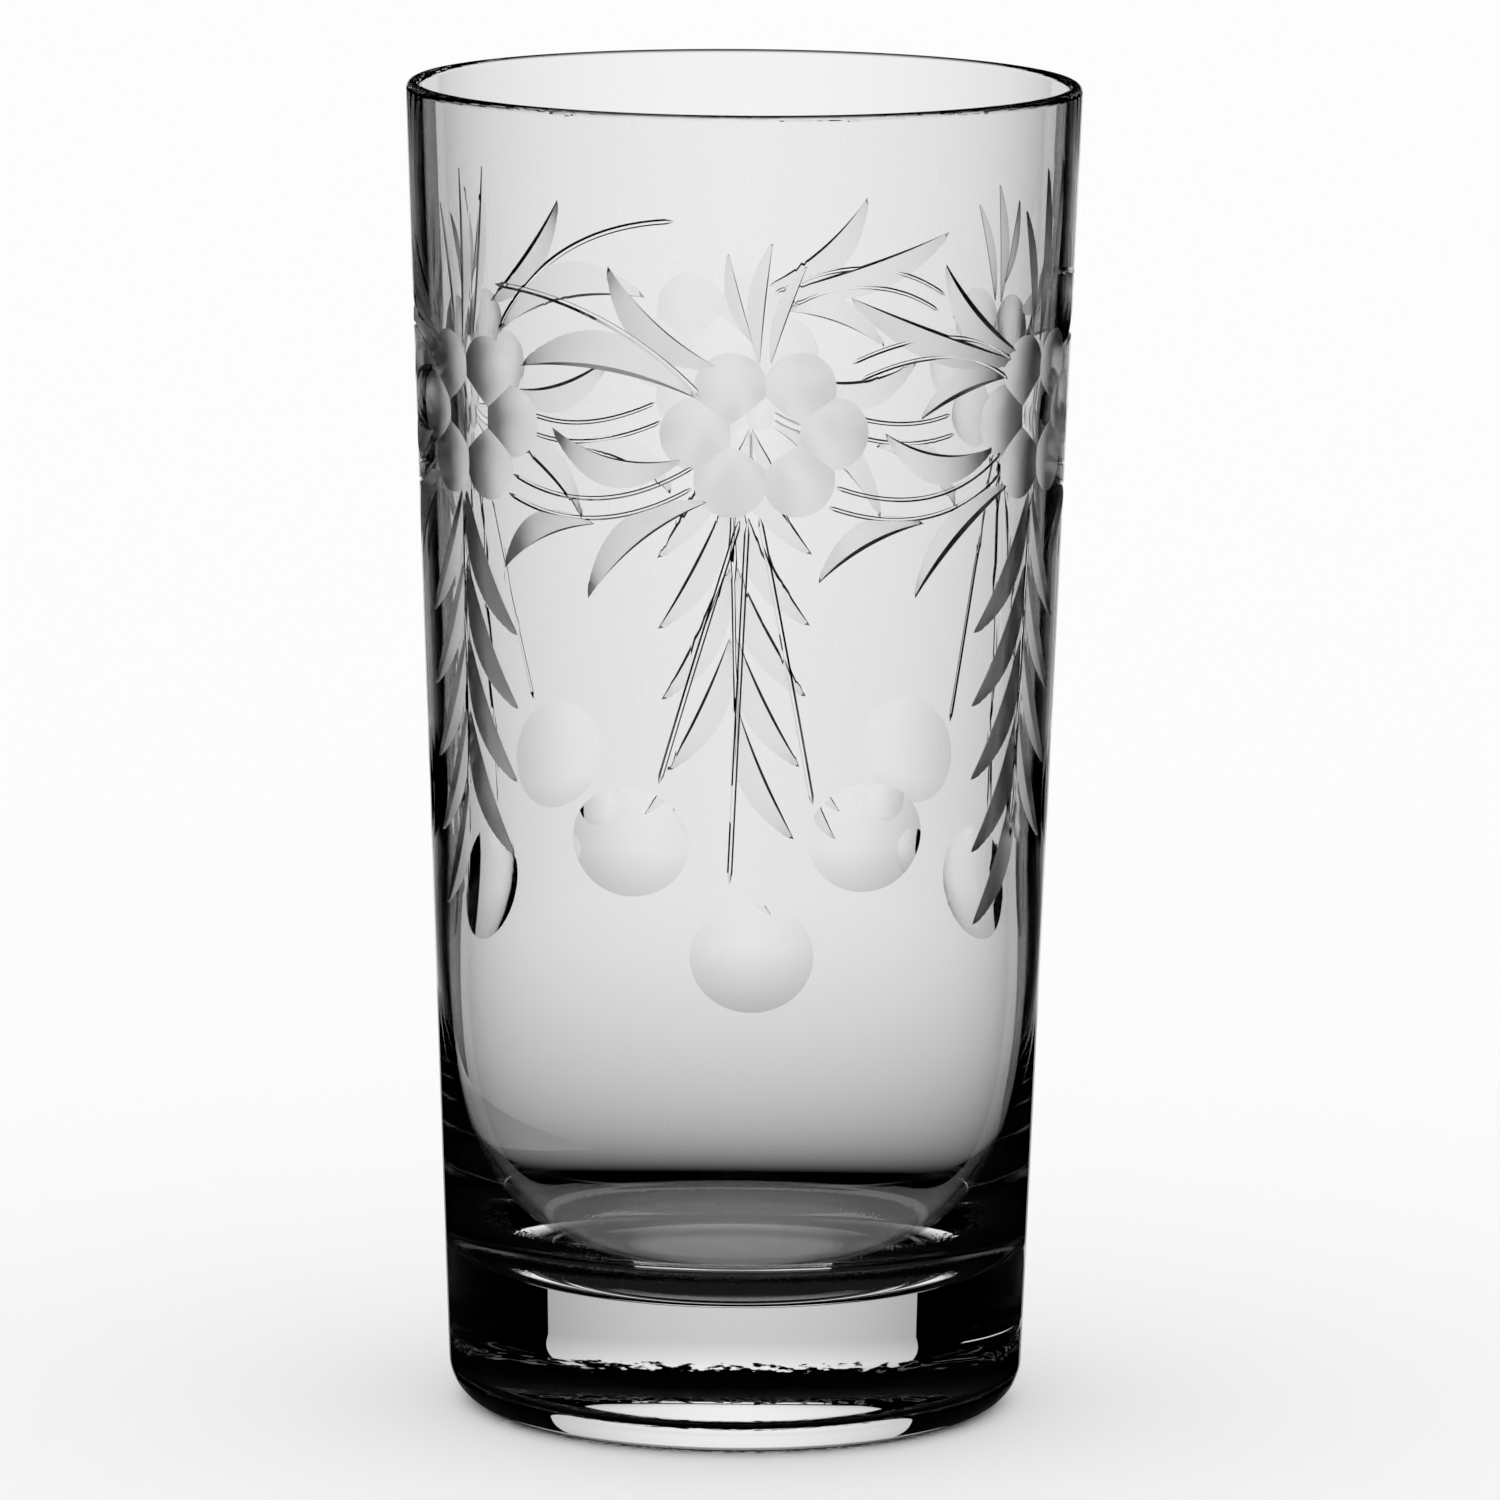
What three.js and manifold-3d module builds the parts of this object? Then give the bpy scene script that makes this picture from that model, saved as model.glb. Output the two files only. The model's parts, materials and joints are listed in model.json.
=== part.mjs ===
// A cut glass highball tumbler, one piece of clear glass with a thick base.
// Units are millimetres, +Z is up, and the origin is the middle of the underside.
// Flowers and sprays are ground into the outside of the wall in three repeats.

import * as THREE from 'three';
import { mergeVertices } from 'three/addons/utils/BufferGeometryUtils.js';
import Module from 'manifold-3d';

const wasm = await Module();
wasm.setup();

// The blank, before any cutting
const height = 131;
const rimDiameter = 66;
const footDiameter = 56.4;
const rimThickness = 1.45;
const wallThickness = 1.8;
const floorThickness = 13.2;
const heelRadius = 4.5;
const bowlFlatRadius = 10;
const bowlDepth = 42;
const bowlSquareness = 3.4;
const sidesRound = 64;
const heelSteps = 4;
const rimSteps = 4;
const bowlSteps = 9;

// The band of cuts: how far under the rim its flowers sit, and how often it repeats
const flowerBelowRim = 31;
const repeats = 3;
const largeFlowerAngle = -86;
const flowersPerRepeat = 2;

// One flower: six round petals in an oval ring about a shallow middle
const petalRadius = 3.5;
const petalHollow = 0.25;
const petalCount = 6;
const petalRingAcross = 6.6;
const petalRingUp = 5.1;
const flowerMiddleRadius = 3.6;
const flowerMiddleHollow = 0.1;
const dishReach = 9;
const dishSidesAround = 26;
const dishRings = 16;

// The round windows that hang under every other flower, and the stems they hang from.
// Every place is given across and up from the middle of its flower.
const windowHalfWidth = 5.9;
const windowHalfHeight = 5.3;
const windowHollow = 0.16;
const windowPlaces = [[-13.5, -40], [-0.8, -51], [11, -39.5]];
const stemWidth = 0.55;
const stemDepth = 0.3;
const windowStems = [
  { top: [-2.2, -7.2], bottom: [-10.5, -34] },
  { top: [-1.6, -7.2], bottom: [-3.2, -43.8] },
  { top: [-0.6, -6.8], bottom: [5.3, -36] },
];

// Leaves have one steep side and one wide, shallow side
const leafDepth = 0.5;
const steepSideRun = 0.12;
const cutClearance = 0.2;
const leafSteps = 4;

// The leaves that reach from a flower towards the one on its left
const sideLeaves = [
  { root: [-4, 6.7], tip: [-15.4, 16.6], steepBow: 0.8, shallowBow: 3.7 },
  { root: [-7.5, -1.8], tip: [-21.8, 0.6], steepBow: 1.4, shallowBow: 4.4 },
  { root: [-5, -5.8], tip: [-17.9, -16.2], steepBow: -1.0, shallowBow: -3.8 },
  { root: [-16.6, -8.6], tip: [-28.2, -14.1], steepBow: -0.9, shallowBow: -3.5 },
];

// The hanging spray of leaves under the other flowers
const sprayStemTop = [-1, -7];
const sprayStemBottom = [-2, -42];
const sprayLeafDrop = 7.2;
const sprayRootShift = -0.15;
const sprayLeafWidth = 3.1;
const sprayLeafBow = 0.3;
const sprayLeft = { leaves: 5, root: [-1.3, -6.6], tip: [-10.2, -20.2], tipShift: 0.1 };
const sprayRight = { leaves: 4, root: [-0.7, -6.6], tip: [7.2, -20.6], tipShift: -0.12 };

const bandHeight = height - flowerBelowRim;

// Radius of the outside of the wall, which is a straight cone from foot to rim
function outerRadius(z) {
  return footDiameter / 2 + (rimDiameter - footDiameter) / 2 * (z / height);
}

// Profile of the blank from the middle of the underside, round the outside and back inside
function blankProfile() {
  const profile = [new THREE.Vector2(0, 0)];
  const lean = Math.atan((rimDiameter - footDiameter) / 2 / height);
  const heelTurn = Math.PI / 2 - lean;
  const heelCentre = footDiameter / 2 - heelRadius * Math.tan(heelTurn / 2);
  for (let step = 0; step <= heelSteps; step += 1) {
    const turn = heelTurn * step / heelSteps;
    const out = heelCentre + heelRadius * Math.sin(turn);
    profile.push(new THREE.Vector2(out, heelRadius * (1 - Math.cos(turn))));
  }

  const rimRound = rimThickness / 2;
  const rimCentre = outerRadius(height - rimRound) - rimRound;
  for (let step = 0; step <= rimSteps; step += 1) {
    const turn = Math.PI * step / rimSteps;
    const out = rimCentre + rimRound * Math.cos(turn);
    profile.push(new THREE.Vector2(out, height - rimRound + rimRound * Math.sin(turn)));
  }

  const bowlTop = floorThickness + bowlDepth;
  const bowlRadius = outerRadius(bowlTop) - wallThickness;
  for (let step = 0; step <= bowlSteps; step += 1) {
    const turn = Math.PI / 2 * step / bowlSteps;
    const across = Math.cos(turn) ** (2 / bowlSquareness);
    const drop = Math.sin(turn) ** (2 / bowlSquareness);
    const out = bowlFlatRadius + (bowlRadius - bowlFlatRadius) * across;
    profile.push(new THREE.Vector2(out, bowlTop - bowlDepth * drop));
  }
  profile.push(new THREE.Vector2(0, floorThickness));
  return profile;
}

// A closed geometry as a solid for cutting
function solidFrom(geometry) {
  const bare = geometry.clone();
  bare.deleteAttribute('normal');
  bare.deleteAttribute('uv');
  const merged = mergeVertices(bare, 1e-5);
  const mesh = new wasm.Mesh({
    numProp: 3,
    vertProperties: new Float32Array(merged.attributes.position.array),
    triVerts: new Uint32Array(merged.index.array),
  });
  return new wasm.Manifold(mesh);
}

// A cut solid back as a geometry
function geometryFrom(solid) {
  const mesh = solid.getMesh();
  const geometry = new THREE.BufferGeometry();
  geometry.setAttribute('position', new THREE.BufferAttribute(mesh.vertProperties, 3));
  geometry.setIndex(new THREE.BufferAttribute(mesh.triVerts, 1));
  geometry.computeVertexNormals();
  return geometry;
}

// A point on the wall, from its distance across and up from a flower's middle.
// Distance across is measured at the flowers' height, so a motif keeps its angle.
function onWall(flowerAngle, across, up, lift = 0) {
  const angle = flowerAngle + across / outerRadius(bandHeight);
  const z = bandHeight + up;
  const radius = outerRadius(z) + lift;
  return new THREE.Vector3(radius * Math.cos(angle), radius * Math.sin(angle), z);
}

// A rounded cutter that leaves an oval dish of the given half width and half height.
// Its hollow is how far it goes below a flat across the dish from side to side.
function dishCutter(flowerAngle, across, up, halfWidth, halfHeight, hollow) {
  const wallRadius = outerRadius(bandHeight + up);
  const fallBack = wallRadius - Math.sqrt(wallRadius ** 2 - halfWidth ** 2);
  const depth = fallBack + hollow;
  const chordUp = 1 - (1 - depth / dishReach) ** 2;
  const chordAcross = 1 - (1 - hollow / dishReach) ** 2;
  const ball = new THREE.SphereGeometry(1, dishSidesAround, dishRings);
  ball.scale(dishReach, halfWidth / Math.sqrt(chordAcross), halfHeight / Math.sqrt(chordUp));
  const middle = onWall(flowerAngle, across, up, dishReach - depth);
  ball.rotateZ(Math.atan2(middle.y, middle.x));
  ball.translate(middle.x, middle.y, middle.z);
  return solidFrom(ball);
}

// A closed cutter lofted through three-cornered sections between two points
function loftedCutter(firstPoint, sections, lastPoint) {
  const points = [firstPoint, ...sections.flat(), lastPoint];
  const last = points.length - 1;
  const triangles = [];
  for (let side = 0; side < 3; side += 1) {
    const next = (side + 1) % 3;
    triangles.push(0, 1 + side, 1 + next);
    triangles.push(last, last - 3 + next, last - 3 + side);
    for (let index = 0; index < sections.length - 1; index += 1) {
      const here = 1 + index * 3;
      const there = here + 3;
      triangles.push(here + side, there + side, here + next);
      triangles.push(here + next, there + side, there + next);
    }
  }
  const geometry = new THREE.BufferGeometry().setFromPoints(points);
  geometry.setIndex(triangles);
  let solid = solidFrom(geometry);
  if (solid.volume() < 0) {
    geometry.setIndex(triangles.reverse());
    solid = solidFrom(geometry);
  }
  return solid;
}

// A point beside the straight line between two places, pushed sideways to make an arc
function bowed(from, to, share, bow) {
  const run = to.clone().sub(from);
  const sideways = new THREE.Vector2(-run.y, run.x).normalize();
  const push = bow * 4 * share * (1 - share);
  return from.clone().addScaledVector(run, share).addScaledVector(sideways, push);
}

// A leaf from its root to its tip. The steep side follows one arc and the shallow side another.
function leafCutter(flowerAngle, root, tip, steepBow, shallowBow) {
  const from = new THREE.Vector2(...root);
  const to = new THREE.Vector2(...tip);
  const place = (spot, lift) => onWall(flowerAngle, spot.x, spot.y, lift);
  const sections = [];
  for (let step = 1; step < leafSteps; step += 1) {
    const share = step / leafSteps;
    const steep = bowed(from, to, share, steepBow);
    const shallow = bowed(from, to, share, shallowBow);
    const width = shallow.clone().sub(steep);
    const depth = leafDepth * Math.sqrt(4 * share * (1 - share));
    const bottom = steep.clone().addScaledVector(width, steepSideRun);
    const rise = cutClearance / depth;
    const outside = shallow.clone().addScaledVector(width, (1 - steepSideRun) * rise);
    sections.push([place(steep, cutClearance), place(bottom, -depth), place(outside, cutClearance)]);
  }
  return loftedCutter(place(from, cutClearance), sections, place(to, cutClearance));
}

// A plain V groove along an arc
function grooveCutter(flowerAngle, start, end, bow, width, depth) {
  const from = new THREE.Vector2(...start);
  const to = new THREE.Vector2(...end);
  const place = (spot, lift) => onWall(flowerAngle, spot.x, spot.y, lift);
  const sections = [];
  const spread = (depth + cutClearance) / depth;
  for (let step = 1; step < leafSteps; step += 1) {
    const share = step / leafSteps;
    const middle = bowed(from, to, share, bow);
    const sideways = new THREE.Vector2(-(to.y - from.y), to.x - from.x).normalize();
    const left = middle.clone().addScaledVector(sideways, width / 2 * spread);
    const right = middle.clone().addScaledVector(sideways, -width / 2 * spread);
    sections.push([place(left, cutClearance), place(middle, -depth), place(right, cutClearance)]);
  }
  return loftedCutter(place(from, cutClearance), sections, place(to, cutClearance));
}

// Six petals in an oval ring and the shallow middle between them
function flowerCutters(flowerAngle) {
  const cutters = [];
  for (let petal = 0; petal < petalCount; petal += 1) {
    const turn = Math.PI * 2 * petal / petalCount;
    const across = petalRingAcross * Math.cos(turn);
    const up = petalRingUp * Math.sin(turn);
    cutters.push(dishCutter(flowerAngle, across, up, petalRadius, petalRadius, petalHollow));
  }
  const middle = flowerMiddleRadius;
  cutters.push(dishCutter(flowerAngle, 0, 0, middle, middle, flowerMiddleHollow));
  return cutters;
}

// Leaves that reach from a flower towards the one on its left
function sideLeafCutters(flowerAngle) {
  return sideLeaves.map((leaf) => (
    leafCutter(flowerAngle, leaf.root, leaf.tip, leaf.steepBow, leaf.shallowBow)
  ));
}

// Three windows on three stems, under a flower
function windowCutters(flowerAngle) {
  const cutters = [];
  for (const [across, up] of windowPlaces) {
    cutters.push(dishCutter(flowerAngle, across, up, windowHalfWidth, windowHalfHeight, windowHollow));
  }
  for (const { top, bottom } of windowStems) {
    cutters.push(grooveCutter(flowerAngle, top, bottom, 0, stemWidth, stemDepth));
  }
  return cutters;
}

// One side of a hanging spray. Going down, the roots drift along the stem and the tips draw in.
function spraySide(flowerAngle, side, bow, width) {
  const cutters = [];
  for (let leaf = 0; leaf < side.leaves; leaf += 1) {
    const drop = sprayLeafDrop * leaf;
    const root = [side.root[0] + sprayRootShift * leaf, side.root[1] - drop];
    const tip = [side.tip[0] + side.tipShift * leaf ** 2, side.tip[1] - drop];
    cutters.push(leafCutter(flowerAngle, root, tip, bow, width));
  }
  return cutters;
}

// A straight stem with leaves on its left and on its right, under a flower
function sprayCutters(flowerAngle) {
  return [
    grooveCutter(flowerAngle, sprayStemTop, sprayStemBottom, 0, stemWidth, stemDepth),
    ...spraySide(flowerAngle, sprayLeft, sprayLeafBow, sprayLeafWidth),
    ...spraySide(flowerAngle, sprayRight, -sprayLeafBow, -sprayLeafWidth),
  ];
}

function cutGlass() {
  const blank = new THREE.LatheGeometry(blankProfile(), sidesRound);
  blank.rotateX(Math.PI / 2);
  let glass = solidFrom(blank);
  const cutters = [];
  const flowerStep = Math.PI * 2 / (repeats * flowersPerRepeat);
  for (let flower = 0; flower < repeats * flowersPerRepeat; flower += 1) {
    const flowerAngle = THREE.MathUtils.degToRad(largeFlowerAngle) + flower * flowerStep;
    cutters.push(...flowerCutters(flowerAngle), ...sideLeafCutters(flowerAngle));
    const hanging = flower % flowersPerRepeat === 0 ? windowCutters : sprayCutters;
    cutters.push(...hanging(flowerAngle));
  }
  for (const cutter of cutters) {
    glass = glass.subtract(cutter);
  }
  return geometryFrom(glass);
}

const clearGlass = new THREE.MeshStandardMaterial({
  color: 0xe6eaea,
  roughness: 0.04,
  metalness: 0,
  transparent: true,
  opacity: 0.35,
});

const tumbler = new THREE.Group();
const glassBody = new THREE.Mesh(cutGlass(), clearGlass);
glassBody.name = 'glass_body';
tumbler.add(glassBody);

export default tumbler;
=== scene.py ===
# A cut glass highball tumbler, made the way the real one is: a clear blank first, then every
# cut ground into the outside of its wall. Metres, +Z up, origin in the middle of the underside.

import json
import math

import bmesh
import bpy
from mathutils import Matrix, Vector

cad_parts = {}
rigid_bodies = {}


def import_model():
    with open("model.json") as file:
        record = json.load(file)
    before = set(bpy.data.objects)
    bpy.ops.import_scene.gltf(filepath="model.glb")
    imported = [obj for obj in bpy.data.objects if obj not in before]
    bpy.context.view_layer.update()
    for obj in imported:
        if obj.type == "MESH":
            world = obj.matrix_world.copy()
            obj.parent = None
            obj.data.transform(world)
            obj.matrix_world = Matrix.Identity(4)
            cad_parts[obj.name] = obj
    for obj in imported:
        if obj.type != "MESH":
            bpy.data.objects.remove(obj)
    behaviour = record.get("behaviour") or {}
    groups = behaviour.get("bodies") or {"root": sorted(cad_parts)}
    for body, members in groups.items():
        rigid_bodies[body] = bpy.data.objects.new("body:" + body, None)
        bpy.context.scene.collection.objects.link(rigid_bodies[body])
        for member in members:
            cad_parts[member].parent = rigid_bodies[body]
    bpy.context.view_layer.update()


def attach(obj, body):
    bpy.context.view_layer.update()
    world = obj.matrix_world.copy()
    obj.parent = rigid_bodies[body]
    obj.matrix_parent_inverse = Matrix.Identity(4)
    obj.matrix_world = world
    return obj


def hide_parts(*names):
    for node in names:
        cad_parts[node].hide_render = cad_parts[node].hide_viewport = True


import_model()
scene = bpy.context.scene


# The blank
# One heavy-based tumbler of clear, colourless glass, blown into a mould and turned as it
# cools, with a fire-polished rim and a rounded bowl. The line of its rim is darkened by
# painted shade. A ragged ring round the underside is worn rough and is also painted black
# as painted shade, so that it lets no light through.

HEIGHT = 0.131
RIM_ACROSS = 0.066
FOOT_ACROSS = 0.0564
RIM_THICK = 0.00145
WALL_THICK = 0.0018
FLOOR_THICK = 0.0132
HEEL_ROUND = 0.0045
BOWL_FLAT = 0.010
BOWL_DEEP = 0.042
BOWL_SQUARE = 3.4
HEEL_STEPS = 20
RIM_STEPS = 20
BOWL_STEPS = 44
WALL_STEPS_OUTSIDE = 26
WALL_STEPS_INSIDE = 9
SPIN_STEPS = 288
MERGE_GAP = 1e-7
GLASS_IOR = 1.5


def wall_radius(z):
    return (FOOT_ACROSS + (RIM_ACROSS - FOOT_ACROSS) * z / HEIGHT) / 2


def blank_profile():
    points = [(0, 0)]
    lean = math.atan((RIM_ACROSS - FOOT_ACROSS) / 2 / HEIGHT)
    heel_turn = math.pi / 2 - lean
    heel_middle = FOOT_ACROSS / 2 - HEEL_ROUND * math.tan(heel_turn / 2)
    for step in range(HEEL_STEPS + 1):
        turn = heel_turn * step / HEEL_STEPS
        out = heel_middle + HEEL_ROUND * math.sin(turn)
        points.append((out, HEEL_ROUND * (1 - math.cos(turn))))

    wall_foot = points[-1][1]
    lip = RIM_THICK / 2
    wall_top = HEIGHT - lip
    for step in range(1, WALL_STEPS_OUTSIDE):
        z = wall_foot + (wall_top - wall_foot) * step / WALL_STEPS_OUTSIDE
        points.append((wall_radius(z), z))

    lip_middle = wall_radius(wall_top) - lip
    for step in range(RIM_STEPS + 1):
        turn = math.pi * step / RIM_STEPS
        points.append((lip_middle + lip * math.cos(turn), wall_top + lip * math.sin(turn)))

    bowl_top = FLOOR_THICK + BOWL_DEEP
    for step in range(1, WALL_STEPS_INSIDE):
        share = step / WALL_STEPS_INSIDE
        z = wall_top + (bowl_top - wall_top) * share
        thick = RIM_THICK + (WALL_THICK - RIM_THICK) * share
        points.append((wall_radius(z) - thick, z))

    bowl_radius = wall_radius(bowl_top) - WALL_THICK
    for step in range(BOWL_STEPS + 1):
        turn = math.pi / 2 * step / BOWL_STEPS
        across = math.cos(turn) ** (2 / BOWL_SQUARE)
        drop = math.sin(turn) ** (2 / BOWL_SQUARE)
        out = BOWL_FLAT + (bowl_radius - BOWL_FLAT) * across
        points.append((out, bowl_top - BOWL_DEEP * drop))
    points.append((0, FLOOR_THICK))
    return points


def tidy(mesh):
    bmesh.ops.remove_doubles(mesh, verts=mesh.verts, dist=MERGE_GAP)
    bmesh.ops.recalc_face_normals(mesh, faces=mesh.faces)


def spun_blank():
    mesh = bmesh.new()
    verts = [mesh.verts.new((out, 0, z)) for out, z in blank_profile()]
    edges = [mesh.edges.new(pair) for pair in zip(verts, verts[1:])]
    bmesh.ops.spin(
        mesh,
        geom=verts + edges,
        cent=(0, 0, 0),
        axis=(0, 0, 1),
        angle=math.tau,
        steps=SPIN_STEPS,
        use_merge=True,
    )
    tidy(mesh)
    return mesh


def add_node(tree, kind, **settings):
    node = tree.nodes.new(kind)
    for name, value in settings.items():
        setattr(node, name, value)
    return node


def add_sum(tree, operation, *values):
    node = add_node(tree, "ShaderNodeMath", operation=operation)
    for socket, value in zip(node.inputs, values):
        if isinstance(value, (int, float)):
            socket.default_value = value
        else:
            tree.links.new(value, socket)
    return node.outputs["Value"]


def add_noise(tree, stretch, scale, detail=2.0):
    place = add_node(tree, "ShaderNodeTexCoord")
    mapping = add_node(tree, "ShaderNodeMapping")
    mapping.inputs["Scale"].default_value = stretch
    noise = add_node(tree, "ShaderNodeTexNoise")
    noise.inputs["Scale"].default_value = scale
    noise.inputs["Detail"].default_value = detail
    tree.links.new(place.outputs["Object"], mapping.inputs["Vector"])
    tree.links.new(mapping.outputs["Vector"], noise.inputs["Vector"])
    return noise.outputs["Fac"]


def add_range(tree, value, low, high):
    spread = add_node(tree, "ShaderNodeMapRange")
    spread.inputs["To Min"].default_value = low
    spread.inputs["To Max"].default_value = high
    tree.links.new(value, spread.inputs["Value"])
    return spread.outputs["Result"]


def add_bump(tree, height, distance, strength):
    bump = add_node(tree, "ShaderNodeBump")
    bump.inputs["Distance"].default_value = distance
    bump.inputs["Strength"].default_value = strength
    tree.links.new(height, bump.inputs["Height"])
    return bump.outputs["Normal"]


def glass_finish(name, colour):
    material = bpy.data.materials.new(name)
    material.use_nodes = True
    tree = material.node_tree
    glass = tree.nodes["Principled BSDF"]
    glass.inputs["Base Color"].default_value = colour
    glass.inputs["Transmission Weight"].default_value = 1.0
    glass.inputs["IOR"].default_value = GLASS_IOR
    return material, tree, glass


def add_step(tree, value, start, end, low=0.0, high=1.0):
    step = add_node(tree, "ShaderNodeMapRange", interpolation_type="SMOOTHSTEP")
    step.inputs["From Min"].default_value = start
    step.inputs["From Max"].default_value = end
    step.inputs["To Min"].default_value = low
    step.inputs["To Max"].default_value = high
    tree.links.new(value, step.inputs["Value"])
    return step.outputs["Result"]


def add_place(tree):
    place = add_node(tree, "ShaderNodeTexCoord")
    parts = add_node(tree, "ShaderNodeSeparateXYZ")
    tree.links.new(place.outputs["Object"], parts.inputs["Vector"])
    return parts.outputs


def add_radius(tree, place, shift=0.0):
    across = add_sum(tree, "POWER", place["X"], 2.0)
    along = add_sum(tree, "POWER", add_sum(tree, "ADD", place["Y"], shift), 2.0)
    return add_sum(tree, "SQRT", add_sum(tree, "ADD", across, along))


# The ragged ring under the foot. It is worn rough, and the same mask paints it black and opaque as
# painted shade.
WEAR_AND_SHADE_ASIDE = 0.0012
WEAR_AND_SHADE_INNER = 0.0203
WEAR_AND_SHADE_UP = 0.0008
WEAR_AND_SHADE_TILT = -0.030
WEAR_AND_SHADE_GRAIN = 2200.0
WEAR_AND_SHADE_GRAIN_DETAIL = 6.0
WEAR_AND_SHADE_RAGGED_ACROSS = 0.010
WEAR_AND_SHADE_RAGGED_UP = 0.003
WEAR_AND_SHADE_BORDER_ACROSS = 0.0003
WEAR_AND_SHADE_BORDER_UP = 0.0002
WEAR_ROUGHNESS = 0.7
# The top of the rim is painted nearly black. This is painted shade along its line, not a colour of
# the glass.
RIM_SHADE_BAND = 0.00022
RIM_PAINTED_SHADE = 0.08
RIPPLE_STRETCH = (1.0, 1.0, 0.35)
RIPPLE_SCALE = 55.0
RIPPLE_DEEP = 0.00012
RIPPLE_STRENGTH = 0.35
EVEN = (1.0, 1.0, 1.0)


# Mask of the ragged ring: real wear for the roughness, and painted shade for the black, opaque
# colour.
def add_wear_and_shade(tree):
    place = add_place(tree)
    grain = add_noise(tree, EVEN, WEAR_AND_SHADE_GRAIN, WEAR_AND_SHADE_GRAIN_DETAIL)
    ragged = add_sum(tree, "SUBTRACT", grain, 0.5)
    radius = add_radius(tree, place, WEAR_AND_SHADE_ASIDE)
    from_middle = add_sum(tree, "MULTIPLY_ADD", ragged, WEAR_AND_SHADE_RAGGED_ACROSS, radius)
    outside = add_step(tree, from_middle, WEAR_AND_SHADE_INNER, WEAR_AND_SHADE_INNER + WEAR_AND_SHADE_BORDER_ACROSS)
    level = add_sum(tree, "MULTIPLY_ADD", place["Y"], WEAR_AND_SHADE_TILT, place["Z"])
    upwards = add_sum(tree, "MULTIPLY_ADD", ragged, WEAR_AND_SHADE_RAGGED_UP, level)
    below = add_step(tree, upwards, WEAR_AND_SHADE_UP, WEAR_AND_SHADE_UP + WEAR_AND_SHADE_BORDER_UP, 1.0, 0.0)
    return add_sum(tree, "MULTIPLY", outside, below)


def clear_finish():
    material, tree, glass = glass_finish("clear_glass", (1.0, 1.0, 1.0, 1.0))
    # Inside the ring the glass is worn rough, and it is painted black with no light through as
    # painted shade.
    unworn_and_unshaded = add_sum(tree, "SUBTRACT", 1.0, add_wear_and_shade(tree))
    height = add_place(tree)["Z"]
    # Painted shade: the glass is painted nearly black over the top of the rim.
    rim_start = HEIGHT - 1.5 * RIM_SHADE_BAND
    painted_shade_at_rim = add_step(tree, height, rim_start, HEIGHT - 0.5 * RIM_SHADE_BAND, 1.0, RIM_PAINTED_SHADE)
    tree.links.new(add_sum(tree, "MULTIPLY", painted_shade_at_rim, unworn_and_unshaded), glass.inputs["Base Color"])
    tree.links.new(unworn_and_unshaded, glass.inputs["Transmission Weight"])
    tree.links.new(add_range(tree, unworn_and_unshaded, WEAR_ROUGHNESS, 0.0), glass.inputs["Roughness"])
    ripple = add_noise(tree, RIPPLE_STRETCH, RIPPLE_SCALE, 1.0)
    tree.links.new(add_bump(tree, ripple, RIPPLE_DEEP, RIPPLE_STRENGTH), glass.inputs["Normal"])
    return material


CLEAR = clear_finish()
blank_mesh = bpy.data.meshes.new("glass_tumbler")
blank = spun_blank()
blank.to_mesh(blank_mesh)
blank.free()
blank_mesh.materials.append(CLEAR)
tumbler = bpy.data.objects.new("glass_tumbler", blank_mesh)
scene.collection.objects.link(tumbler)

cuts = bpy.data.collections.new("cuts")
scene.collection.children.link(cuts)


# The flowers
# Six round petals in an oval ring about a shallow middle, each dished out by a small wheel
# with a rounded edge. The petals keep the wheel's satin, and the middle is polished clear.

FLOWERS = 6
FIRST_FLOWER = math.radians(-86)
FLOWER_HEIGHT = 0.100
PETALS = 6
PETAL_RADIUS = 0.0035
PETAL_HOLLOW = 0.00025
PETAL_RING_ACROSS = 0.0066
PETAL_RING_UP = 0.0051
MIDDLE_RADIUS = 0.0036
MIDDLE_HOLLOW = 0.0001
WHEEL_REACH = 0.009
WHEEL_SIDES = 56
WHEEL_RINGS = 72
MM = 0.001
SATIN_ROUGHNESS = (0.26, 0.34)
SATIN_DRIFT = 420.0
SATIN_GRAIN = 6000.0
POLISH_ROUGHNESS = 0.02
POLISH_GRAIN = 600.0


def flower_angle(flower):
    return FIRST_FLOWER + math.tau * flower / FLOWERS


def on_wall(flower, across, up, lift=0.0):
    angle = flower_angle(flower) + across / wall_radius(FLOWER_HEIGHT)
    z = FLOWER_HEIGHT + up
    radius = wall_radius(z) + lift
    return Vector((radius * math.cos(angle), radius * math.sin(angle), z))


def keep_cut(mesh, finish):
    data = bpy.data.meshes.new("cut")
    mesh.to_mesh(data)
    mesh.free()
    data.materials.append(finish)
    cuts.objects.link(bpy.data.objects.new("cut", data))


def dish(flower, across, up, half_width, half_height, hollow, finish):
    wall = wall_radius(FLOWER_HEIGHT + up)
    depth = wall - math.sqrt(wall ** 2 - half_width ** 2) + hollow
    wide = half_width / math.sqrt(1 - (1 - hollow / WHEEL_REACH) ** 2)
    tall = half_height / math.sqrt(1 - (1 - depth / WHEEL_REACH) ** 2)
    middle = on_wall(flower, across, up, WHEEL_REACH - depth)
    turn = Matrix.Rotation(math.atan2(middle.y, middle.x), 3, "Z")
    mesh = bmesh.new()
    bmesh.ops.create_uvsphere(mesh, u_segments=WHEEL_SIDES, v_segments=WHEEL_RINGS, radius=1)
    bmesh.ops.rotate(mesh, verts=mesh.verts, matrix=Matrix.Rotation(math.pi / 2, 3, "Y"))
    bmesh.ops.scale(mesh, verts=mesh.verts, vec=(WHEEL_REACH, wide, tall))
    bmesh.ops.rotate(mesh, verts=mesh.verts, matrix=turn)
    bmesh.ops.translate(mesh, verts=mesh.verts, vec=middle)
    keep_cut(mesh, finish)


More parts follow.
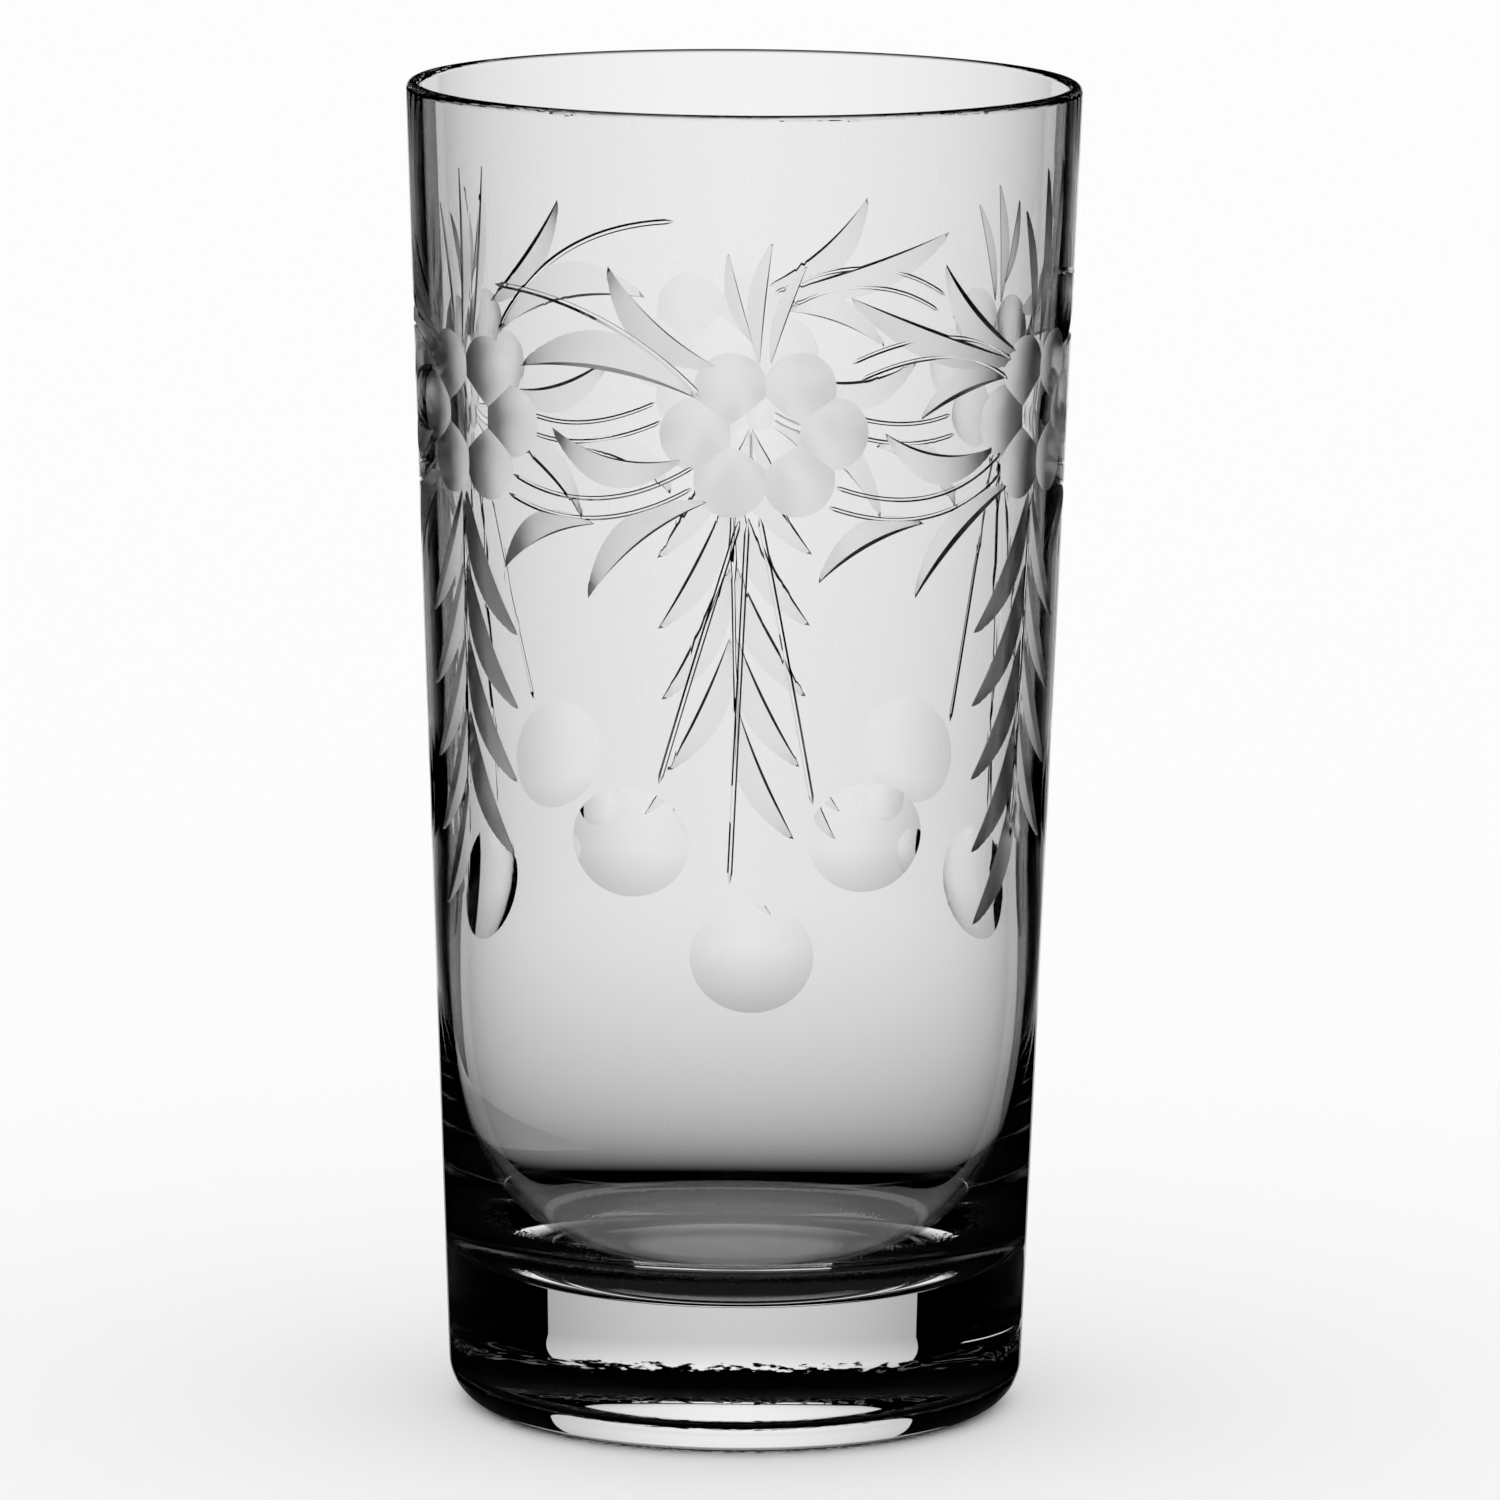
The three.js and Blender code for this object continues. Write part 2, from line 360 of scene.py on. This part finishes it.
def satin_finish():
    material, tree, glass = glass_finish("satin_petals", (0.97, 0.97, 0.97, 1.0))
    drift = add_noise(tree, EVEN, SATIN_DRIFT)
    tree.links.new(add_range(tree, drift, *SATIN_ROUGHNESS), glass.inputs["Roughness"])
    grain = add_noise(tree, EVEN, SATIN_GRAIN)
    tree.links.new(add_bump(tree, grain, 0.000004, 0.25), glass.inputs["Normal"])
    return material


def polished_finish():
    material, tree, glass = glass_finish("polished_cuts", (1.0, 1.0, 1.0, 1.0))
    glass.inputs["Roughness"].default_value = POLISH_ROUGHNESS
    ripple = add_noise(tree, EVEN, POLISH_GRAIN, 1.0)
    tree.links.new(add_bump(tree, ripple, 0.00001, 0.4), glass.inputs["Normal"])
    return material


SATIN = satin_finish()
POLISHED = polished_finish()
for flower in range(FLOWERS):
    for petal in range(PETALS):
        turn = math.tau * petal / PETALS
        across = PETAL_RING_ACROSS * math.cos(turn)
        up = PETAL_RING_UP * math.sin(turn)
        dish(flower, across, up, PETAL_RADIUS, PETAL_RADIUS, PETAL_HOLLOW, SATIN)
    dish(flower, 0, 0, MIDDLE_RADIUS, MIDDLE_RADIUS, MIDDLE_HOLLOW, POLISHED)


# The leaves between the flowers
# Long leaves reach from each flower towards the one on its left. The edge of a mitred wheel
# cuts one side steep and the other wide and shallow, and both are left matt from the stone.

LEAF_DEEP = 0.0005
STEEP_SHARE = 0.12
CLEAR_OF_WALL = 0.0002
LEAF_STEPS = 20
ALL_FLOWERS = range(FLOWERS)
GROUND_ROUGHNESS = (0.26, 0.38)
GROUND_DRIFT = 300.0
GROUND_GRAIN = 7000.0
LARGE_FLOWERS = range(0, FLOWERS, 2)
SMALL_FLOWERS = range(1, FLOWERS, 2)


def arc_point(start, end, share, bow):
    run = end - start
    aside = Vector((-run.y, run.x)).normalized()
    return start + run * share + aside * (bow * 4 * share * (1 - share))


def mitre_cut(flower, start, end, section, corners, finish):
    mesh = bmesh.new()
    bmesh.ops.create_cone(mesh, cap_ends=True, segments=corners, radius1=1, radius2=1, depth=1)
    lengthways = []
    for edge in mesh.edges:
        first, last = edge.verts
        if abs(first.co.z - last.co.z) > 0.5:
            lengthways.append(edge)
    bmesh.ops.subdivide_edges(mesh, edges=lengthways, cuts=LEAF_STEPS - 1, use_grid_fill=True)
    for vert in mesh.verts:
        corner = round(math.atan2(vert.co.y, vert.co.x) / math.tau * corners) % corners
        spot, lift = section(Vector(start) * MM, Vector(end) * MM, vert.co.z + 0.5)[corner]
        vert.co = on_wall(flower, spot.x, spot.y, lift)
    tidy(mesh)
    keep_cut(mesh, finish)


def leaf(flower, start, end, steep_bow, shallow_bow, finish, deepest=LEAF_DEEP):
    def section(root, tip, share):
        swell = math.sqrt(max(4 * share * (1 - share), 0))
        steep = arc_point(root, tip, share, steep_bow * MM)
        if swell < 0.01:
            return [(steep, CLEAR_OF_WALL)] * 3
        shallow = arc_point(root, tip, share, shallow_bow * MM)
        width = shallow - steep
        depth = deepest * swell
        outside = shallow + width * ((1 - STEEP_SHARE) * CLEAR_OF_WALL / depth)
        bottom = steep + width * STEEP_SHARE
        return [(steep, CLEAR_OF_WALL), (bottom, -depth), (outside, CLEAR_OF_WALL)]

    mitre_cut(flower, start, end, section, 3, finish)


def ground_finish():
    material, tree, glass = glass_finish("ground_leaves", (0.95, 0.95, 0.95, 1.0))
    drift = add_noise(tree, EVEN, GROUND_DRIFT)
    tree.links.new(add_range(tree, drift, *GROUND_ROUGHNESS), glass.inputs["Roughness"])
    grain = add_noise(tree, EVEN, GROUND_GRAIN, 3.0)
    tree.links.new(add_bump(tree, grain, 0.000008, 0.35), glass.inputs["Normal"])
    return material


GROUND = ground_finish()
SIDE_LEAVES = [
    ((-4, 6.7), (-15.4, 16.6), 0.8, 3.7),
    ((-7.5, -1.8), (-21.8, 0.6), 1.4, 4.4),
    ((-5, -5.8), (-17.9, -16.2), -1.0, -3.8),
    ((-16.6, -8.6), (-28.2, -14.1), -0.9, -3.5),
]
for flower in ALL_FLOWERS:
    for root, tip, steep_bow, shallow_bow in SIDE_LEAVES:
        leaf(flower, root, tip, steep_bow, shallow_bow, GROUND)
for flower in LARGE_FLOWERS:
    leaf(flower, (-6.2, 3.8), (-25.6, 5.9), -1.3, -5.2, GROUND)
for flower in SMALL_FLOWERS:
    leaf(flower, (-4.4, 6), (-25.8, 13.8), 0.2, 3.2, GROUND)
    leaf(flower, (-6.4, 4.6), (-17.8, 1.3), -0.6, -3.1, GROUND)


# The festoons and the rays
# Fine lines round the flowers: pairs of thin threads swing from each flower to the next, and
# a fan of three narrow rays stands on all flowers but one. Both are light, sharp strokes.

THREAD_WIDE = 0.00045
THREAD_DEEP = 0.0002
THREAD_FLAT = 0.4
LONG_THREAD_WIDE = 0.0006
LONG_THREAD_DEEP = 0.00034
RAY_DEEP = 0.0002
RAYED_SMALL_FLOWERS = [1, 5]


def thread(flower, start, end, bow, width, depth, finish):
    flat = width * THREAD_FLAT / 2
    spread = flat + (width / 2 - flat) * (depth + CLEAR_OF_WALL) / depth

    def section(first, last, share):
        middle = arc_point(first, last, share, bow * MM)
        if share in (0, 1):
            return [(middle, CLEAR_OF_WALL)] * 4
        run = last - first
        aside = Vector((-run.y, run.x)).normalized()
        wide = [(middle + aside * side, CLEAR_OF_WALL) for side in (spread, -spread)]
        deep = [(middle + aside * side, -depth) for side in (-flat, flat)]
        return wide + deep

    mitre_cut(flower, start, end, section, 4, finish)


for flower in ALL_FLOWERS:
    thread(flower, (-6.2, -2.2), (-27, -4.4), 2.8, THREAD_WIDE, THREAD_DEEP, POLISHED)
    thread(flower, (-6.5, -4.4), (-27.7, -6.3), 2.7, THREAD_WIDE, THREAD_DEEP, POLISHED)
for flower in LARGE_FLOWERS:
    leaf(flower, (-1.1, 9), (-3.6, 18.2), 0, 1.3, GROUND, RAY_DEEP)
    leaf(flower, (-0.6, 6.9), (0.6, 19.3), 0, 1.6, GROUND, RAY_DEEP)
    leaf(flower, (0.4, 7), (3.9, 17), 0, 1.3, GROUND, RAY_DEEP)
    thread(flower, (-5.6, 3.6), (-28.9, 13.6), -2.8, LONG_THREAD_WIDE, LONG_THREAD_DEEP, POLISHED)
for flower in RAYED_SMALL_FLOWERS:
    leaf(flower, (-1.9, 9), (-4.4, 21), 0, -1.3, GROUND, RAY_DEEP)
    leaf(flower, (-0.6, 6.9), (-0.4, 25), 0, -1.6, GROUND, RAY_DEEP)
    leaf(flower, (1.2, 7.5), (3.4, 25.5), 0, -1.3, GROUND, RAY_DEEP)
for flower in SMALL_FLOWERS:
    thread(flower, (-4.4, 5.6), (-25.6, 7), -2.9, THREAD_WIDE, THREAD_DEEP, POLISHED)
    thread(flower, (-5.3, 4), (-24.7, 5.4), -2.6, THREAD_WIDE, THREAD_DEEP, POLISHED)


# The windows on their stems
# Under every other flower three round windows hang on straight stems. Each window is ground
# nearly flat against a broad wheel and polished, so that it stands out clear in the wall.

WINDOW_HALF_WIDE = 0.0059
WINDOW_HALF_TALL = 0.0053
WINDOW_HOLLOW = 0.00016
STEM_WIDE = 0.00055
STEM_DEEP = 0.0003

WINDOWS = [(-13.5, -40), (-0.8, -51), (11, -39.5)]
STEMS = [((-2.2, -7.2), (-10.5, -34)), ((-1.6, -7.2), (-3.2, -43.8)), ((-0.6, -6.8), (5.3, -36))]
for flower in LARGE_FLOWERS:
    for across, up in WINDOWS:
        half_size = (WINDOW_HALF_WIDE, WINDOW_HALF_TALL)
        dish(flower, across * MM, up * MM, *half_size, WINDOW_HOLLOW, POLISHED)
    for top, bottom in STEMS:
        thread(flower, top, bottom, 0, STEM_WIDE, STEM_DEEP, POLISHED)


# The hanging sprays
# Under each flower between, a straight stem hangs down with five leaves on its left and four
# on its right, cut with the same mitred wheel as the other leaves and left as matt.

SPRAY_DROP = 7.2
for flower in SMALL_FLOWERS:
    thread(flower, (-1, -7), (-2, -42), 0, STEM_WIDE, STEM_DEEP, POLISHED)
    for pair in range(5):
        root = (-1.3 - 0.15 * pair, -6.6 - SPRAY_DROP * pair)
        tip = (-10.2 + 0.1 * pair ** 2, -20.2 - SPRAY_DROP * pair)
        leaf(flower, root, tip, 0.3, 3.1, GROUND)
    for pair in range(4):
        root = (-0.7 - 0.15 * pair, -6.6 - SPRAY_DROP * pair)
        tip = (7.2 - 0.12 * pair ** 2, -20.6 - SPRAY_DROP * pair)
        leaf(flower, root, tip, -0.3, -3.1, GROUND)


# The finished tumbler
# All the cuts are taken out of the blank in one go, each leaving its own finish behind.
# Corners between two finishes and sharp bends stay crisp, and the rest is smooth.

CRISP_ANGLE = math.radians(5.5)


def cut_away(piece):
    cutting = piece.modifiers.new("cutting", "BOOLEAN")
    cutting.operation = "DIFFERENCE"
    cutting.solver = "MANIFOLD"
    cutting.operand_type = "COLLECTION"
    cutting.collection = cuts
    cutting.material_mode = "TRANSFER"
    seen = bpy.context.evaluated_depsgraph_get()
    carved = bpy.data.meshes.new_from_object(piece.evaluated_get(seen), depsgraph=seen)
    piece.modifiers.remove(cutting)
    carved.name = piece.name
    piece.data = carved
    for cutter in list(cuts.objects):
        bpy.data.objects.remove(cutter)
    bpy.data.collections.remove(cuts)


def crisp_corners(piece):
    mesh = bmesh.new()
    mesh.from_mesh(piece.data)
    bmesh.ops.remove_doubles(mesh, verts=mesh.verts, dist=MERGE_GAP)
    for face in mesh.faces:
        face.smooth = True
    for edge in mesh.edges:
        finishes = {face.material_index for face in edge.link_faces}
        edge.smooth = len(finishes) == 1 and edge.calc_face_angle(0) < CRISP_ANGLE
    mesh.to_mesh(piece.data)
    mesh.free()


cut_away(tumbler)
crisp_corners(tumbler)
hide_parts("glass_body")
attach(tumbler, "root")


# The table, the light and the camera
# A plain white table under soft light from everywhere. The glass doesn't show the table or
# that light: it shows glowing sheets behind it, to the left, in front, to the front right
# and just under the table top, and black elsewhere. The camera doesn't see the sheets.

TABLE_RADIUS = 4.0
UNDER_RADIUS = 0.030
PANEL_DISTANCE = 0.160
PANEL_HALF_WIDE = 0.066
PANEL_TOP = 0.135
BACK_PANEL_ASIDE = 0.002
BACK_PANEL_BOTTOM = -0.160
SIDE_PANEL_BOTTOM = -0.030
SIDE_PANEL_BEARINGS = [90, 180, 225]
WALL_CROSSINGS = 2.5
LANE_START = 0.045
LANE_DIM = 0.080
LANE_BRIGHT = 0.120
LANE_FAR = 0.160
LANE_END = 0.350
LANE_NARROW = 0.022
LANE_WIDE = 0.060
LANE_BEARINGS = [45, 225]
SHEET_HEIGHT = -0.0005
LANE_DIM_LIGHT = 0.32
LANE_LIGHT = 0.85
SIDE_LIGHT = 0.9
UNDER_MIDDLE = (0.009, 0.014, 0.09, 0.01)
UNDER_RIM = (0.020, 0.023, 0.0, 0.08)
UNDER_RIM_FRONT = -0.005
UNDER_RIM_BACK = 0.005
BACK_SIDEWAYS = (0.0, 0.09, 0.97, 0.6)
BACK_UPWARDS = (0.0, 0.12, 0.93, 1.0)
BACK_FADE_FROM = -0.149
BACK_FADE_TO = 0.025
BACK_FADE_POWER = 1.25
TABLE_WHITE = 0.98
LENS = 258.7
CAMERA_ASIDE = 0.007
CAMERA_PLACE = (0, -1.0464, 0.23655)
CAMERA_DOWN = math.radians(9.31)
CAMERA_ROLL = 0.0075
GLASS_BOUNCES = 32
MIRROR_BOUNCES = 16


def staged(name, mesh):
    bmesh.ops.recalc_face_normals(mesh, faces=mesh.faces)
    data = bpy.data.meshes.new(name)
    mesh.to_mesh(data)
    mesh.free()
    piece = bpy.data.objects.new(name, data)
    scene.collection.objects.link(piece)
    return piece


def disc(name, radius, height):
    mesh = bmesh.new()
    bmesh.ops.create_circle(mesh, cap_ends=True, segments=96, radius=radius)
    bmesh.ops.translate(mesh, verts=mesh.verts, vec=(0, 0, height))
    return staged(name, mesh)


def place_sheet(mesh, half_wide, half_tall, tilt, middle, bearing):
    made = bmesh.ops.create_grid(mesh, x_segments=1, y_segments=1, size=1)["verts"]
    bmesh.ops.scale(mesh, verts=made, vec=(half_wide, half_tall, 1))
    bmesh.ops.rotate(mesh, verts=made, matrix=Matrix.Rotation(tilt, 3, "X"))
    bmesh.ops.translate(mesh, verts=made, vec=middle)
    bmesh.ops.rotate(mesh, verts=made, matrix=Matrix.Rotation(math.radians(bearing), 3, "Z"))


def glow_finish(name):
    material = bpy.data.materials.new(name)
    material.use_nodes = True
    material.cycles.emission_sampling = "NONE"
    tree = material.node_tree
    tree.nodes.remove(tree.nodes["Principled BSDF"])
    glow = add_node(tree, "ShaderNodeEmission")
    tree.links.new(glow.outputs["Emission"], tree.nodes["Material Output"].inputs["Surface"])
    return material, tree, glow.inputs["Strength"], add_place(tree)


def add_unreflected(tree, path):
    return add_sum(tree, "LESS_THAN", path["Glossy Depth"], 0.5)


table = disc("table", TABLE_RADIUS, 0)
table_paint = bpy.data.materials.new("table_white")
table_paint.use_nodes = True
paint = table_paint.node_tree.nodes["Principled BSDF"]
paint.inputs["Base Color"].default_value = (TABLE_WHITE, TABLE_WHITE, TABLE_WHITE, 1.0)
paint.inputs["Roughness"].default_value = 0.9
paint.inputs["Specular IOR Level"].default_value = 0.0
table.data.materials.append(table_paint)
table.visible_transmission = False
table.visible_glossy = False

under = disc("under_glass", UNDER_RADIUS, SHEET_HEIGHT)
under_glow, tree, strength, place = glow_finish("under_glow")
from_middle = add_radius(tree, place)
middle = add_step(tree, from_middle, *UNDER_MIDDLE)
all_round = add_step(tree, from_middle, *UNDER_RIM)
at_back = add_step(tree, place["Y"], UNDER_RIM_FRONT, UNDER_RIM_BACK)
rim = add_sum(tree, "MULTIPLY", all_round, at_back)
tree.links.new(add_sum(tree, "ADD", middle, rim), strength)
under.data.materials.append(under_glow)

mesh = bmesh.new()
for bearing in LANE_BEARINGS:
    turn = Matrix.Rotation(math.radians(bearing), 3, "Z")
    corners = []
    for along, half_wide in ((LANE_START, LANE_NARROW), (LANE_END, LANE_WIDE)):
        corners += [(-half_wide, along, SHEET_HEIGHT), (half_wide, along, SHEET_HEIGHT)]
    lane = [mesh.verts.new(turn @ Vector(corner)) for corner in corners]
    bmesh.ops.contextual_create(mesh, geom=lane)
lanes = staged("table_lanes", mesh)
lane_glow, tree, strength, place = glow_finish("lane_glow")
path = add_node(tree, "ShaderNodeLightPath").outputs
through_bowl = add_sum(tree, "GREATER_THAN", path["Transmission Depth"], WALL_CROSSINGS)
from_middle = add_radius(tree, place)
far_off = add_sum(tree, "GREATER_THAN", from_middle, LANE_FAR)
not_through_base = add_sum(tree, "MAXIMUM", through_bowl, far_off)
fading = add_step(tree, from_middle, LANE_DIM, LANE_BRIGHT, LANE_DIM_LIGHT, LANE_LIGHT)
lane_light = add_sum(tree, "MULTIPLY", fading, not_through_base)
tree.links.new(add_sum(tree, "MULTIPLY", lane_light, add_unreflected(tree, path)), strength)
lanes.data.materials.append(lane_glow)

mesh = bmesh.new()
back_middle = (BACK_PANEL_ASIDE, PANEL_DISTANCE, (PANEL_TOP + BACK_PANEL_BOTTOM) / 2)
place_sheet(mesh, PANEL_HALF_WIDE, (PANEL_TOP - BACK_PANEL_BOTTOM) / 2, math.pi / 2, back_middle, 0)
back_panel = staged("back_panel", mesh)
back_glow, tree, strength, place = glow_finish("back_glow")
sideways = add_step(tree, add_sum(tree, "ABSOLUTE", place["X"]), *BACK_SIDEWAYS)
upwards = add_step(tree, place["Z"], *BACK_UPWARDS)
mirrored = add_node(tree, "ShaderNodeMapRange")
mirrored.inputs["From Min"].default_value = BACK_FADE_FROM
mirrored.inputs["From Max"].default_value = BACK_FADE_TO
tree.links.new(place["Z"], mirrored.inputs["Value"])
fading = add_sum(tree, "POWER", mirrored.outputs["Result"], BACK_FADE_POWER)
over_panel = add_sum(tree, "MULTIPLY", sideways, upwards)
tree.links.new(add_sum(tree, "MULTIPLY", over_panel, fading), strength)
back_panel.data.materials.append(back_glow)

side_middle = (0, PANEL_DISTANCE, (PANEL_TOP + SIDE_PANEL_BOTTOM) / 2)
side_half_tall = (PANEL_TOP - SIDE_PANEL_BOTTOM) / 2
mesh = bmesh.new()
for bearing in SIDE_PANEL_BEARINGS:
    place_sheet(mesh, PANEL_HALF_WIDE, side_half_tall, math.pi / 2, side_middle, bearing)
side_panels = staged("side_panels", mesh)
side_glow, tree, strength, place = glow_finish("side_glow")
path = add_node(tree, "ShaderNodeLightPath").outputs
tree.links.new(add_sum(tree, "MULTIPLY", add_unreflected(tree, path), SIDE_LIGHT), strength)
side_panels.data.materials.append(side_glow)

for glowing in (under, lanes, back_panel, side_panels):
    glowing.visible_camera = False
    glowing.visible_diffuse = False
    glowing.visible_shadow = False
for glowing in (lanes, side_panels):
    glowing.visible_glossy = False

world = bpy.data.worlds.new("studio")
scene.world = world
world.use_nodes = True
world.cycles.sampling_method = "NONE"
tree = world.node_tree
path = add_node(tree, "ShaderNodeLightPath").outputs
straight = add_sum(tree, "MAXIMUM", path["Is Glossy Ray"], path["Is Transmission Ray"])
plain = add_sum(tree, "LESS_THAN", path["Diffuse Depth"], 0.5)
in_glass = add_sum(tree, "MULTIPLY", straight, plain)
background = tree.nodes["Background"]
background.inputs["Color"].default_value = (1.0, 1.0, 1.0, 1.0)
tree.links.new(add_sum(tree, "SUBTRACT", 1.0, in_glass), background.inputs["Strength"])

camera_data = bpy.data.cameras.new("camera")
camera_data.lens = LENS
camera_data.sensor_width = 36.0
camera_data.shift_x = CAMERA_ASIDE
camera_data.clip_end = 20.0
camera = bpy.data.objects.new("camera", camera_data)
scene.collection.objects.link(camera)
scene.camera = camera
tilt = Matrix.Rotation(math.pi / 2 - CAMERA_DOWN, 4, "X")
roll = Matrix.Rotation(CAMERA_ROLL, 4, "Z")
camera.matrix_world = Matrix.Translation(CAMERA_PLACE) @ tilt @ roll

scene.view_settings.view_transform = "Standard"
scene.cycles.max_bounces = GLASS_BOUNCES
scene.cycles.transmission_bounces = GLASS_BOUNCES
scene.cycles.glossy_bounces = MIRROR_BOUNCES
